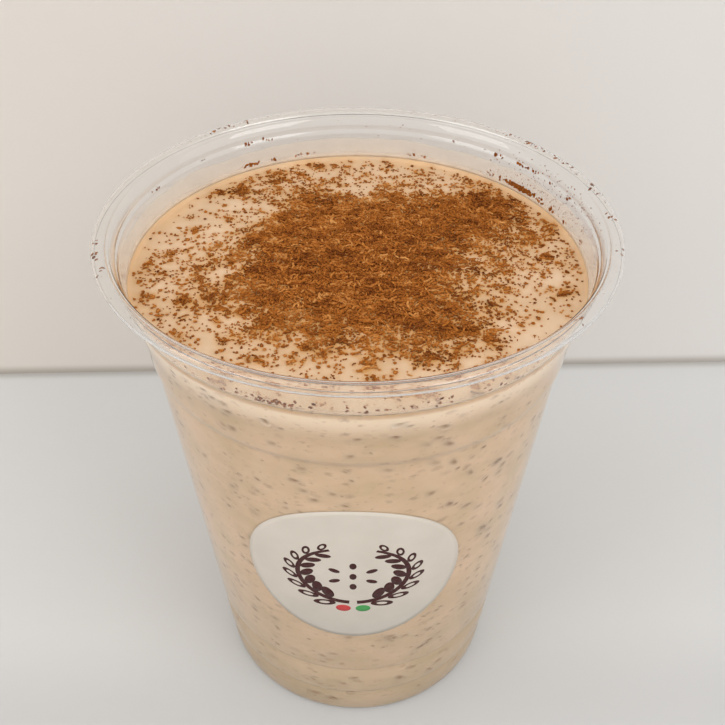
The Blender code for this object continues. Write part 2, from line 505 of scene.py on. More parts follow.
def rice_group():
    """A shader group: cream full of soft rice, with painted shade that darkens it towards the bottom and under the
    moulded rings, and a painted glow that pales it at its brim.
    """
    group = bpy.data.node_groups.new("cooked rice", "ShaderNodeTree")
    group.interface.new_socket(name="Vector", in_out="INPUT", socket_type="NodeSocketVector")
    group.interface.new_socket(name="Color", in_out="OUTPUT", socket_type="NodeSocketColor")
    group.interface.new_socket(name="Clouds", in_out="OUTPUT", socket_type="NodeSocketFloat")
    start = add_node(group, "NodeGroupInput")
    end = add_node(group, "NodeGroupOutput")
    flat = add_node(group, "ShaderNodeMapping", {"Vector": start.outputs["Vector"], "Scale": (1.0, 1.0, 1.7)})
    clouds = add_node(group, "ShaderNodeTexNoise", {"Vector": flat.outputs[0], "Scale": 110.0, "Detail": 3.0})
    body = colour_ramp(group, clouds.outputs["Fac"], (0.3, (0.675, 0.505, 0.32)), (0.7, (0.775, 0.575, 0.40)))
    grains = add_node(
        group, "ShaderNodeTexVoronoi", {"Vector": flat.outputs[0], "Scale": 300.0}, feature="SMOOTH_F1"
    )
    rice = add_node(
        group,
        "ShaderNodeMapRange",
        {"Value": grains.outputs["Distance"], "From Min": 0.15, "From Max": 0.5, "To Min": 0.25, "To Max": 0.0},
    )
    colour = mix_colour(group, rice.outputs[0], body, (0.78, 0.60, 0.42))
    # Painted shade: the cream is darker towards the bottom, with steps of shade under the moulded rings.
    height = add_node(group, "ShaderNodeSeparateXYZ", {"Vector": start.outputs["Vector"]})
    level = add_node(group, "ShaderNodeMapRange", {"Value": height.outputs["Z"], "From Max": 0.050})
    painted_shade_by_height = colour_ramp(
        group,
        level.outputs[0],
        (0.0, (0.70, 0.72, 0.73)),
        (0.17, (0.74, 0.76, 0.76)),
        (0.20, (0.79, 0.81, 0.81)),
        (0.38, (0.79, 0.81, 0.81)),
        (0.41, (0.85, 0.86, 0.86)),
        (0.68, (0.91, 0.92, 0.92)),
        (1.0, (1.0, 1.0, 1.0)),
    )
    # Painted light: a pale glowing band in the cream just under its surface.
    painted_brim_glow = add_node(
        group,
        "ShaderNodeMapRange",
        {"Value": height.outputs["Z"], "From Min": surface_level - 0.0065, "From Max": surface_level - 0.0008},
    )
    painted_brim_glow.interpolation_type = "SMOOTHSTEP"
    pale = mix_colour(group, painted_brim_glow.outputs[0], multiplied(group, colour, painted_shade_by_height), (0.96, 0.79, 0.61))
    group.links.new(pale, end.inputs["Color"])
    group.links.new(clouds.outputs["Fac"], end.inputs["Clouds"])
    return group


def cream_shader(shader):
    """The finish that the cream and what lies in it share: wet, and a little translucent."""
    shader.inputs["Roughness"].default_value = 0.38
    shader.inputs["Specular IOR Level"].default_value = 0.3
    shader.inputs["Subsurface Weight"].default_value = 0.35
    shader.inputs["Subsurface Radius"].default_value = (1.0, 0.85, 0.7)
    shader.inputs["Subsurface Scale"].default_value = 0.0007


scattered = fleck_group()
cooked = rice_group()
cream, shader = new_material("rice cream")
tree = cream.node_tree
place = add_node(tree, "ShaderNodeTexCoord")
flat = add_node(tree, "ShaderNodeMapping", {"Vector": place.outputs["Object"], "Scale": (1.0, 1.0, 1.6)})
rice = add_node(tree, "ShaderNodeGroup", node_tree=cooked)
tree.links.new(place.outputs["Object"], rice.inputs["Vector"])
colour = rice.outputs["Color"]
for density, size, softness, tint in (
    (330.0, 0.50, 0.50, (0.44, 0.29, 0.19)),
    (240.0, 0.36, 0.34, (0.38, 0.25, 0.17)),
    (750.0, 0.50, 0.50, (0.46, 0.31, 0.20)),
):
    flecks = add_node(tree, "ShaderNodeGroup", node_tree=scattered)
    tree.links.new(flat.outputs[0], flecks.inputs["Vector"])
    flecks.inputs["Density"].default_value = density
    flecks.inputs["Size"].default_value = size
    flecks.inputs["Softness"].default_value = softness
    colour = mix_colour(tree, flecks.outputs["Mask"], colour, tint)
skin = colour_ramp(tree, rice.outputs["Clouds"], (0.3, (0.585, 0.405, 0.250)), (0.7, (0.70, 0.515, 0.355)))
top = add_node(tree, "ShaderNodeAttribute", attribute_name="top")
colour = mix_colour(tree, top.outputs["Fac"], colour, skin)
edge = add_node(tree, "ShaderNodeAttribute", attribute_name="edge")
colour = mix_colour(tree, edge.outputs["Fac"], colour, (0.72, 0.46, 0.235))
amount = add_node(tree, "ShaderNodeAttribute", attribute_name="stain")
patches = add_node(tree, "ShaderNodeTexNoise", {"Vector": place.outputs["Object"], "Scale": 700.0, "Detail": 2.0})
uneven = add_node(
    tree,
    "ShaderNodeMapRange",
    {"Value": patches.outputs["Fac"], "From Min": 0.3, "From Max": 0.7, "To Min": 0.85, "To Max": 1.5},
)
soaked = add_node(tree, "ShaderNodeMath", {0: amount.outputs["Fac"], 1: uneven.outputs[0]}, operation="MULTIPLY")
soaked.use_clamp = True
colour = mix_colour(tree, soaked.outputs[0], colour, (0.54, 0.275, 0.09))
tree.links.new(colour, shader.inputs["Base Color"])
cream_shader(shader)
bump = add_node(tree, "ShaderNodeBump", {"Height": rice.outputs["Clouds"], "Distance": 0.0004})
bump.inputs["Strength"].default_value = 0.25
tree.links.new(bump.outputs["Normal"], shader.inputs["Normal"])
pudding.data.materials.append(cream)
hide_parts("pudding")
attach(pudding, "root")

# ---------------------------------------------------------------------------------------
# The milk film: where the pudding slopped against the wall it left a thin whitish film,
# thickest just above the surface, that thins out to a haze below the collar's crease.
# ---------------------------------------------------------------------------------------

film_height = 0.0041
film_thickness = 0.00006


def wall_inside(z):
    """The radius of the cup's inner face at a height."""
    return radius_on(side_line, z) - wall / 2


deselect_all()
bpy.ops.mesh.primitive_circle_add(vertices=turns, radius=1.0, fill_type="NOTHING")
film = bpy.context.object
film.name = "milk_film"
bpy.ops.object.mode_set(mode="EDIT")
bpy.ops.mesh.select_all(action="SELECT")
film_steps = 10
for step in range(film_steps):
    bpy.ops.mesh.extrude_edges_move()
    bpy.ops.transform.translate(value=(0, 0, 1.0))
bpy.ops.object.mode_set(mode="OBJECT")
for point in film.data.vertices:
    angle = math.atan2(point.co.y, point.co.x)
    around = Vector((math.cos(angle), math.sin(angle), 0.0))
    tide = film_height * (1.0 + 0.14 * noise.noise(around * 4.0) + 0.06 * noise.noise(around * 17.0))
    z = surface_level + edge_climb - 0.0002 + tide * point.co.z / film_steps
    point.co = around * (wall_inside(z) - film_thickness - 0.00003)
    point.co.z = z
apply_modifier(film, "SOLIDIFY", thickness=film_thickness, offset=1.0)
face_outwards(film)

milk, shader = new_material("milk film")
tree = milk.node_tree
place = add_node(tree, "ShaderNodeTexCoord")
streaks = add_node(tree, "ShaderNodeTexNoise", {"Vector": place.outputs["Object"], "Scale": 300.0, "Detail": 2.0})
tint = colour_ramp(tree, streaks.outputs["Fac"], (0.3, (0.75, 0.59, 0.42)), (0.7, (0.84, 0.69, 0.53)))
tree.links.new(tint, shader.inputs["Base Color"])
height = add_node(tree, "ShaderNodeSeparateXYZ", {"Vector": place.outputs["Object"]})
low = surface_level + edge_climb
level = add_node(
    tree, "ShaderNodeMapRange", {"Value": height.outputs["Z"], "From Min": low, "From Max": low + film_height}
)
fading = colour_ramp(
    tree,
    level.outputs[0],
    (0.0, (0.70,) * 3),
    (0.07, (0.45,) * 3),
    (0.25, (0.28,) * 3),
    (0.55, (0.22,) * 3),
    (1.0, (0.16,) * 3),
)
uneven = add_node(tree, "ShaderNodeMapRange", {"Value": streaks.outputs["Fac"], "To Min": 0.6, "To Max": 1.2})
cover = add_node(tree, "ShaderNodeMath", {0: fading, 1: uneven.outputs[0]}, operation="MULTIPLY")
cover.use_clamp = True
tree.links.new(cover.outputs[0], shader.inputs["Alpha"])
shader.inputs["Roughness"].default_value = 0.4
film.data.materials.append(milk)
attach(film, "root")

# ---------------------------------------------------------------------------------------
# The flecks: bits of bark and rice husk stirred into the pudding. Those that lie against
# the wall show through it as small brown-grey scales, longer round the cup than up it.
# ---------------------------------------------------------------------------------------

taper = (groove_radius - upper_ring[0]) / (groove_z - upper_ring[1])


def flat_scale(name, corners):
    """A thin scale, 1 by 1, slightly domed: its points and triangles, to copy."""
    deselect_all()
    bpy.ops.mesh.primitive_circle_add(vertices=corners, radius=0.5, fill_type="TRIFAN")
    item = bpy.context.object
    item.name = name
    bpy.ops.object.mode_set(mode="EDIT")
    bpy.ops.mesh.select_all(action="SELECT")
    bpy.ops.transform.vertex_random(offset=0.16, seed=4)
    bpy.ops.object.mode_set(mode="OBJECT")
    for point in item.data.vertices:
        point.co.z = 1.0 if point.co.length < 0.2 else 0.3
    bpy.ops.object.mode_set(mode="EDIT")
    bpy.ops.mesh.select_all(action="SELECT")
    bpy.ops.mesh.extrude_region_move()
    bpy.ops.transform.resize(value=(0.8, 0.8, 0.0), center_override=(0, 0, -0.9))
    bpy.ops.mesh.select_all(action="SELECT")
    bpy.ops.mesh.normals_make_consistent(inside=False)
    bpy.ops.mesh.quads_convert_to_tris()
    bpy.ops.object.mode_set(mode="OBJECT")
    return taken_shape(item)


def taken_shape(item):
    """A modelled bit's points and triangles as arrays; the object itself is removed."""
    points = np.array([point.co[:] for point in item.data.vertices])
    faces = np.array([face.vertices[:] for face in item.data.polygons])
    bpy.data.objects.remove(item)
    return points, faces


def joined_bits(name, shape, bodies, tones):
    """Joins copies of one shape into a piece: each body is a 3x3 matrix and a centre."""
    points, faces = shape
    turned = [points @ matrix.T + centre for matrix, centre in bodies]
    count = len(points)
    mesh = bpy.data.meshes.new(name)
    corners = np.concatenate([faces + count * index for index in range(len(bodies))])
    mesh.from_pydata(np.concatenate(turned).tolist(), [], corners.tolist())
    tone = mesh.attributes.new("tone", "FLOAT", "POINT")
    tone.data.foreach_set("value", np.repeat(tones, count).astype(np.float32))
    item = bpy.data.objects.new(name, mesh)
    scene.collection.objects.link(item)
    return item


def frame_on_side(angle, z, radius):
    """At a place on the side: around it, up it and out of it, and the point itself."""
    around = np.array([math.cos(angle), math.sin(angle), 0.0])
    out = np.array([math.sin(angle), -math.cos(angle), -taper])
    out /= np.linalg.norm(out)
    up = np.cross(out, around)
    point = np.array([radius * math.sin(angle), -radius * math.cos(angle), z])
    return np.column_stack([around, up, out]), point


fleck_count = 900
fleck_proud = 0.00005
fleck_reach = 0.0013
most_bend = 0.00006
draw = np.random.default_rng(5)
bodies = []
tones = []
while len(bodies) < fleck_count:
    angle = draw.uniform(-math.pi, math.pi)
    z = draw.uniform(0.003, 0.1045)
    radius = radius_on(side_line, z)
    bend = radius_on(side_line, z + fleck_reach) + radius_on(side_line, z - fleck_reach) - 2.0 * radius
    if abs(bend) > most_bend or draw.uniform(0.0, contact_radius) > radius:
        continue
    axes, point = frame_on_side(angle, z, radius)
    slant = draw.normal(0.0, 0.4)
    spin = np.array(Matrix.Rotation(slant, 3, "Z"))
    tall = draw.uniform(0.0009, 0.0022) * draw.uniform(0.8, 1.2)
    wide = tall * draw.uniform(1.1, 1.8)
    bodies.append((axes @ spin @ np.diag([wide, tall, fleck_proud]), point))
    tones.append(np.clip(draw.normal(0.55, 0.26), 0.0, 1.0))
scale_shape = flat_scale("scale", 9)
flecks = joined_bits("pudding_flecks", scale_shape, bodies, tones)
at_centre = np.hypot(scale_shape[0][:, 0], scale_shape[0][:, 1]) < 0.2
middle = flecks.data.attributes.new("middle", "FLOAT", "POINT")
middle.data.foreach_set("value", np.tile(at_centre, fleck_count).astype(np.float32))
husk, shader = new_material("husk flecks")
tree = husk.node_tree
place = add_node(tree, "ShaderNodeTexCoord")
rice = add_node(tree, "ShaderNodeGroup", node_tree=cooked)
tree.links.new(place.outputs["Object"], rice.inputs["Vector"])
own = add_node(tree, "ShaderNodeAttribute", attribute_name="tone")
tint = colour_ramp(
    tree, own.outputs["Fac"], (0.0, (0.33, 0.17, 0.09)), (0.5, (0.46, 0.275, 0.155)), (1.0, (0.61, 0.415, 0.26))
)
inward = add_node(tree, "ShaderNodeAttribute", attribute_name="middle")
depth = add_node(tree, "ShaderNodeMapRange", {"Value": inward.outputs["Fac"], "From Min": 0.0, "From Max": 1.1})
depth.interpolation_type = "SMOOTHSTEP"
tree.links.new(mix_colour(tree, depth.outputs[0], rice.outputs["Color"], tint), shader.inputs["Base Color"])
cream_shader(shader)
flecks.data.materials.append(husk)
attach(flecks, "root")

# ---------------------------------------------------------------------------------------
# The label: a disc of coated paper, stuck on the tapered side by its gummed back. Painted shade darkens it a little
# towards its lower edge.
# ---------------------------------------------------------------------------------------

label_radius = 0.0220
label_centre_z = 0.0572
label_turn = math.radians(-0.8)
label_thickness = 0.00012
label_lift = 0.00004


def on_side(across, up, lift):
    """A point of the flat label, in metres from its centre, laid on the tapered side."""
    z = label_centre_z + up / math.hypot(1.0, taper)
    radius = upper_ring[0] + taper * (z - upper_ring[1]) + lift
    angle = label_turn + across / radius
    return Vector((radius * math.sin(angle), -radius * math.cos(angle), z))


deselect_all()
bpy.ops.mesh.primitive_circle_add(vertices=96, radius=label_radius, fill_type="NGON")
label = bpy.context.object
label.name = "label_paper"
bpy.ops.object.mode_set(mode="EDIT")
bpy.ops.mesh.select_all(action="SELECT")
for step in range(17):
    bpy.ops.mesh.inset(thickness=label_radius / 18)
bpy.ops.mesh.poke()
bpy.ops.object.mode_set(mode="OBJECT")
for point in label.data.vertices:
    point.co = on_side(point.co.x, point.co.y, label_lift)
face_outwards(label)
apply_modifier(label, "SOLIDIFY", thickness=label_thickness, offset=1.0)
face_outwards(label)
paper, shader = new_material("label paper")
tree = paper.node_tree
place = add_node(tree, "ShaderNodeTexCoord")
pulp = add_node(tree, "ShaderNodeTexNoise", {"Vector": place.outputs["Object"], "Scale": 160.0, "Detail": 4.0})
tint = colour_ramp(tree, pulp.outputs["Fac"], (0.3, (0.60, 0.54, 0.465)), (0.7, (0.645, 0.58, 0.505)))
height = add_node(tree, "ShaderNodeSeparateXYZ", {"Vector": place.outputs["Object"]})
low = label_centre_z - label_radius
# Painted shade: the paper darkens towards its lower edge.
label_shade_height = add_node(
    tree,
    "ShaderNodeMapRange",
    {"Value": height.outputs["Z"], "From Min": low, "From Max": low + 2 * label_radius},
)
painted_label_shade = colour_ramp(tree, label_shade_height.outputs[0], (0.0, (0.80, 0.81, 0.82)), (0.35, (0.93, 0.93, 0.93)), (0.8, (1.0, 1.0, 1.0)))
tree.links.new(multiplied(tree, tint, painted_label_shade), shader.inputs["Base Color"])
shader.inputs["Roughness"].default_value = 0.5
fibre = add_node(tree, "ShaderNodeTexNoise", {"Vector": place.outputs["Object"], "Scale": 1500.0, "Detail": 2.0})
bump = add_node(tree, "ShaderNodeBump", {"Height": fibre.outputs["Fac"], "Distance": 0.00005})
bump.inputs["Strength"].default_value = 0.3
tree.links.new(bump.outputs["Normal"], shader.inputs["Normal"])
label.data.materials.append(paper)
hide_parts("label")
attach(label, "root")

# ---------------------------------------------------------------------------------------
# The print on the label: two ears of rice that meet in a wreath, with a few loose grains
# inside it, and a red and a green dot at the foot. It is ink, so it hardly stands up.
# ---------------------------------------------------------------------------------------

ink_thickness = 0.00002
wreath_radius = 0.0094
wreath_rise = 0.0008
wreath_stretch = 1.18
stem_width = 0.00120
grain_length = 0.0040
grain_width = 0.0020
grain_line = 0.00052


def print_shape(name, corners, hollow=0.0):
    """A flat round shape, 1 across, filled or as a line round an open middle."""
    deselect_all()
    bpy.ops.mesh.primitive_circle_add(vertices=corners, radius=0.5, fill_type="NGON")
    item = bpy.context.object
    item.name = name
    bpy.ops.object.mode_set(mode="EDIT")
    bpy.ops.mesh.select_all(action="SELECT")
    bpy.ops.mesh.inset(thickness=hollow or 0.25)
    if hollow:
        bpy.ops.mesh.delete(type="FACE")
    bpy.ops.object.mode_set(mode="OBJECT")
    return item


def set_down(item, across, up, width, height, slant):
    """Sizes, turns and places a flat shape on the label's plane."""
    item.data.transform(
        Matrix.Translation((across, up, 0.0))
        @ Matrix.Rotation(slant, 4, "Z")
        @ Matrix.Diagonal((width, height, 1.0, 1.0))
    )
    return item


def curved_stem(side):
    """A stem along part of a circle, from the foot of the wreath towards its top."""
    deselect_all()
    bpy.ops.mesh.primitive_plane_add(size=1.0)
    item = bpy.context.object
    bpy.ops.object.mode_set(mode="EDIT")
    bpy.ops.mesh.select_all(action="SELECT")
    bpy.ops.mesh.subdivide(number_cuts=24)
    bpy.ops.object.mode_set(mode="OBJECT")
    for point in item.data.vertices:
        share = point.co.x + 0.5
        angle = math.radians(-86 + 152 * share)
        thin = 1.0 - 0.45 * share
        radius = wreath_radius + point.co.y * stem_width * thin
        up = radius * math.sin(angle) + wreath_rise
        point.co = Vector((side * radius * math.cos(angle), up, 0.0))
    return item


def print_piece(name, shapes, colour):
    """Joins flat shapes, lays them on the label and gives them the ink's thickness."""
    deselect_all()
    for item in shapes:
        item.select_set(True)
    bpy.context.view_layer.objects.active = shapes[0]
    bpy.ops.object.join()
    item = shapes[0]
    item.name = name
    bpy.ops.object.mode_set(mode="EDIT")
    bpy.ops.mesh.select_all(action="SELECT")
    bpy.ops.mesh.normals_make_consistent(inside=False)
    bpy.ops.object.mode_set(mode="OBJECT")
    for point in item.data.vertices:
        point.co = on_side(wreath_stretch * point.co.x, point.co.y, label_lift + label_thickness - ink_thickness / 2)
    apply_modifier(item, "SOLIDIFY", thickness=2 * ink_thickness, offset=0.0)
    face_outwards(item)
    ink, shader = new_material(name.replace("_", " "))
    tree = ink.node_tree
    place = add_node(tree, "ShaderNodeTexCoord")
    grit = add_node(tree, "ShaderNodeTexNoise", {"Vector": place.outputs["Object"], "Scale": 1200.0})
    pale = tuple(0.9 * value + 0.02 for value in colour)
    tint = colour_ramp(tree, grit.outputs["Fac"], (0.35, colour), (0.75, pale))
    tree.links.new(tint, shader.inputs["Base Color"])
    shader.inputs["Roughness"].default_value = 0.6
    shader.inputs["Specular IOR Level"].default_value = 0.2
    item.data.materials.append(ink)
    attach(item, "root")


dark_shapes = []
for side in (-1, 1):
    dark_shapes.append(curved_stem(side))
    for station in range(15):
        row = 1 if station % 2 == 0 else -1
        angle = math.radians(-64 + 9.0 * station)
        size = 1.0 - 0.025 * station
        reach = wreath_radius + row * 0.0019 * size
        heading = angle + math.pi / 2 - row * math.radians(36)
        slant = heading if side > 0 else math.pi - heading
        grain = print_shape("grain", 20, grain_line / grain_width if row == 1 else 0.0)
        dark_shapes.append(
            set_down(
                grain,
                side * reach * math.cos(angle),
                reach * math.sin(angle) + wreath_rise,
                grain_length * size,
                grain_width * size,
                slant,
            )
        )
for index in range(7):
    angle = math.radians(90 + 60 * index)
    reach = 0.0036 if index < 6 else 0.0
    dot = print_shape("dot", 16)
    up = reach * math.sin(angle) + wreath_rise
    dark_shapes.append(set_down(dot, reach * math.cos(angle), up, 0.0021, 0.0012, angle))
print_piece("label_print_dark", dark_shapes, (0.050, 0.010, 0.009))
for name, across, colour in (
    ("label_print_red", -0.0017, (0.52, 0.05, 0.05)),
    ("label_print_green", 0.0017, (0.06, 0.30, 0.08)),
):
    dot = print_shape("dot", 24)
    print_piece(name, [set_down(dot, across, wreath_rise - 0.0117, 0.0026, 0.0024, 0.0)], colour)

# ---------------------------------------------------------------------------------------
# The caked cinnamon: bark ground coarse and shaken on. Where it lies thick it has drawn
# moisture and caked into a low uneven mat, with cream showing in its gaps.
# ---------------------------------------------------------------------------------------

mat_cells = 260
mat_depth = 0.0005


def patchy(x, y, size, seed):
    """Smooth noise, about -1 to 1, with patches of a size, drawn out along X."""
    return noise.noise(Vector((0.55 * x / size, y / size, seed)))


def mat_thickness(x, y, layers):
    """How far the mat stands above the cream; below zero there is none."""
    edge = min((surface_radius - math.hypot(x, y)) / 0.0015, 1.0)
    if edge < 0.0:
        return -0.0003
    rough = 1.2 * patchy(x, y, 0.0030, 1.7) + 1.2 * patchy(x, y, 0.0013, 5.1) + 0.8 * patchy(x, y, 0.0006, 9.3)
    return min(0.00026 * (min(layers, 2.8) - 1.85) + 0.00034 * rough, 0.00075) * edge - 0.0002 * (1 - edge)


deselect_all()
bpy.ops.mesh.primitive_grid_add(
    x_subdivisions=mat_cells, y_subdivisions=mat_cells, size=2.0 * surface_radius, location=(0, 0, 0)
)
mat = bpy.context.object
mat.name = "cinnamon_mat"
points = mat.data.vertices
flat_places = np.array([point.co.xy[:] for point in points])
depths = layers_at(flat_places[:, 0], flat_places[:, 1])
stands = [mat_thickness(x, y, layers) for (x, y), layers in zip(flat_places, depths)]
for point, stand in zip(points, stands):
    point.co.z = surface_height(point.co.x, point.co.y) + max(stand, -0.0003)
bpy.ops.object.mode_set(mode="EDIT")
bpy.ops.mesh.select_mode(type="FACE")
bpy.ops.mesh.select_all(action="DESELECT")
bpy.ops.object.mode_set(mode="OBJECT")
for face in mat.data.polygons:
    face.select = all(stands[corner] < -0.00008 for corner in face.vertices)
bpy.ops.object.mode_set(mode="EDIT")
bpy.ops.mesh.delete(type="FACE")
bpy.ops.mesh.select_all(action="SELECT")
bpy.ops.mesh.delete_loose()
bpy.ops.object.mode_set(mode="OBJECT")
apply_modifier(mat, "SOLIDIFY", thickness=mat_depth, offset=-1.0)
face_outwards(mat)


def spice_group():
    """A shader group: ground bark's colour, from dark to light by tone, with fine grain."""
    group = bpy.data.node_groups.new("ground bark", "ShaderNodeTree")
    for name, kind in (("Vector", "NodeSocketVector"), ("Tone", "NodeSocketFloat")):
        group.interface.new_socket(name=name, in_out="INPUT", socket_type=kind)
    group.interface.new_socket(name="Color", in_out="OUTPUT", socket_type="NodeSocketColor")
    group.interface.new_socket(name="Grain", in_out="OUTPUT", socket_type="NodeSocketFloat")
    start = add_node(group, "NodeGroupInput")
    end = add_node(group, "NodeGroupOutput")
    grain = add_node(
        group, "ShaderNodeTexNoise", {"Vector": start.outputs["Vector"], "Scale": 2600.0, "Detail": 2.0}
    )
    drift = add_node(group, "ShaderNodeMath", {0: grain.outputs["Fac"], 1: 0.5}, operation="SUBTRACT")
    tone = add_node(group, "ShaderNodeMath", {0: drift.outputs[0], 1: start.outputs["Tone"]}, operation="ADD")
    colour = colour_ramp(
        group,
        tone.outputs[0],
        (0.0, (0.12, 0.028, 0.005)),
        (0.5, (0.38, 0.122, 0.018)),
        (1.0, (0.60, 0.29, 0.09)),
    )
    group.links.new(colour, end.inputs["Color"])
    group.links.new(grain.outputs["Fac"], end.inputs["Grain"])
    return group


bark = spice_group()


def spice_material(name, patch_size=0.0):
    """Ground bark, toned by each bit's own attribute, or in streaky patches of a size."""
    material, shader = new_material(name)
    tree = material.node_tree
    place = add_node(tree, "ShaderNodeTexCoord")
    colour = add_node(tree, "ShaderNodeGroup", node_tree=bark)
    tree.links.new(place.outputs["Object"], colour.inputs["Vector"])
    if patch_size:
        drawn = add_node(tree, "ShaderNodeMapping", {"Vector": place.outputs["Object"], "Scale": (0.45, 1.0, 1.0)})
        patch = add_node(
            tree,
            "ShaderNodeTexNoise",
            {"Vector": drawn.outputs[0], "Scale": 1.0 / patch_size, "Detail": 3.0, "Distortion": 1.2},
        )
        tone = add_node(
            tree,
            "ShaderNodeMapRange",
            {"Value": patch.outputs["Fac"], "From Min": 0.28, "From Max": 0.72, "To Min": 0.0, "To Max": 0.80},
        )
        tree.links.new(tone.outputs[0], colour.inputs["Tone"])
    else:
        own = add_node(tree, "ShaderNodeAttribute", attribute_name="tone")
        tree.links.new(own.outputs["Fac"], colour.inputs["Tone"])
    tree.links.new(colour.outputs["Color"], shader.inputs["Base Color"])
    shader.inputs["Roughness"].default_value = 0.9
    shader.inputs["Specular IOR Level"].default_value = 0.1
    bump = add_node(tree, "ShaderNodeBump", {"Height": colour.outputs["Grain"], "Distance": 0.0002})
    bump.inputs["Strength"].default_value = 0.3
    tree.links.new(bump.outputs["Normal"], shader.inputs["Normal"])
    return material


mat.data.materials.append(spice_material("caked cinnamon", patch_size=0.0019))
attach(mat, "root")

# ---------------------------------------------------------------------------------------
# The loose cinnamon: the same bark as grains, slivers and small chips. They lie as they
# fell, in short trails and clusters, thick on the mat and thin out to the wall.
# ---------------------------------------------------------------------------------------


def bit_shape(kind):
    """One bit of ground bark, 1 long, as points and triangles to copy."""
    deselect_all()
    if kind == "chip":
        bpy.ops.mesh.primitive_ico_sphere_add(subdivisions=1, radius=0.5)
    elif kind == "grain":
        bpy.ops.mesh.primitive_cylinder_add(vertices=3, radius=0.52, depth=0.6)
    else:
        bpy.ops.mesh.primitive_cube_add(size=1.0)
    item = bpy.context.object
    bpy.ops.object.mode_set(mode="EDIT")
    bpy.ops.mesh.select_all(action="SELECT")
    if kind == "chip":
        bpy.ops.transform.vertex_random(offset=0.12, seed=3)
        bpy.ops.transform.resize(value=(1.0, 0.75, 0.35))
    elif kind == "grain":
        bpy.ops.transform.vertex_random(offset=0.12, seed=9)
        bpy.ops.transform.rotate(value=1.2, orient_axis="X", center_override=(0, 0, 0))
        bpy.ops.transform.resize(value=(1.0, 0.8, 0.6))
    else:
        bpy.ops.transform.resize(value=(1.0, 0.20, 0.12))
        bpy.ops.mesh.bisect(plane_co=(0, 0, 0), plane_no=(1, 0, 0))
        bpy.ops.transform.translate(value=(0, 0.13, 0.05))
        bpy.ops.mesh.select_all(action="SELECT")
    bpy.ops.mesh.quads_convert_to_tris()
    bpy.ops.mesh.normals_make_consistent(inside=False)
    bpy.ops.object.mode_set(mode="OBJECT")
    return taken_shape(item)


def fallen_places(count, densest, members, trail, favour):
    """Places on the cream, likelier where more layers lie, drawn out in short trails."""
    found = []
    while len(found) < count:
        x, y = draw.uniform(-surface_radius, surface_radius, (2, 4000))
        layers = np.minimum(layers_at(x, y), densest)
        patch = [1.0 + 0.6 * patchy(a, b, 0.0026, 22.0) + 0.6 * patchy(a, b, 0.0010, 31.0) for a, b in zip(x, y)]
        kept = draw.uniform(0.0, 1.0, 4000) < (layers / densest) ** favour * np.array(patch)
        for centre in np.column_stack([x, y])[kept]:
            heading = draw.normal(0.0, 0.9)
            along = np.array([math.cos(heading), math.sin(heading)])
            across = np.array([-along[1], along[0]])
            for _ in range(1 + draw.poisson(members)):
                near = centre + along * draw.normal(0.0, trail) + across * draw.normal(0.0, trail * 0.5)
                if math.hypot(*near) < surface_radius:
                    found.append(near)
    draw.shuffle(found)
    return np.array(found[:count])


stain_cells = 430
stain_map = np.zeros((stain_cells, stain_cells))
stain_edges = np.linspace(-contact_radius, contact_radius, stain_cells + 1)


def scatter(name, kind, count, densest, members, trail, favour, sizes, tilt, tone, flatness):
    """Makes one kind of bit: sizes are the least and most, tone the mean, spread and rise."""
    places = fallen_places(count, densest, members, trail, favour)
    depths = np.minimum(layers_at(places[:, 0], places[:, 1]), 2.5)
    lengths = sizes[0] + (sizes[1] - sizes[0]) * draw.beta(1.5, 3.0, count)
    bodies = []
    for (x, y), layers, size in zip(places, depths, lengths):
        shape = np.diag([size, size * draw.uniform(0.75, 1.25), size * draw.uniform(*flatness)])
        turn = (
            Matrix.Rotation(draw.uniform(0.0, math.tau), 3, "Z")
            @ Matrix.Rotation(draw.normal(0.0, tilt), 3, "Y")
            @ Matrix.Rotation(draw.normal(0.0, tilt), 3, "X")
        )
        lift = 0.1 * size + abs(draw.normal(0.0, 0.00006)) * layers
        height = surface_height(x, y) + max(mat_thickness(x, y, layers), 0.0) + lift
        bodies.append((np.array(turn) @ shape, np.array([x, y, height])))
    patches = [patchy(x, y, 0.0024, 3.3) + 0.8 * patchy(x, y, 0.0011, 7.7) for x, y in places]
    tones = draw.normal(tone[0] + tone[2] * (depths - 1.0), tone[1]) + 0.34 * np.array(patches)
    item = joined_bits(name, bit_shape(kind), bodies, np.clip(tones, 0.0, 1.0))
    item.data.materials.append(spice_material(name.replace("_", " ")))
    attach(item, "root")
    found = np.histogram2d(places[:, 0], places[:, 1], bins=stain_edges, weights=0.5 * lengths**2)
    return found[0]


draw = np.random.default_rng(41)
stain_map += scatter(
    "cinnamon_grains", "grain", 21000, 2.6, 1.2, 0.0006, 1.4, (0.0003, 0.0008), 0.3, (0.37, 0.08, 0.0), (0.7, 1.2)
)
stain_map += scatter(
    "cinnamon_slivers", "sliver", 2800, 2.8, 0.3, 0.0006, 1.8, (0.0008, 0.0022), 0.15, (0.41, 0.14, 0.02), (0.7, 1.2)
)
stain_map += scatter(
    "cinnamon_chips", "chip", 6400, 2.0, 0.9, 0.0006, 0.8, (0.0004, 0.0012), 0.2, (0.38, 0.08, -0.03), (0.7, 1.2)
)

# The bits bleed into the cream round them: their cover, spread a little, is the stain.
stain_cell = stain_edges[1] - stain_edges[0]
near = np.arange(-14, 15) * stain_cell


def spread_out(image, width):
    """Blurs a map by a Gaussian of a width in metres."""
    kernel = np.exp(-(near**2) / (2.0 * width**2))
    kernel /= kernel.sum()
    rows = np.apply_along_axis(np.convolve, 0, image, kernel, "same")
    return np.apply_along_axis(np.convolve, 1, rows, kernel, "same")


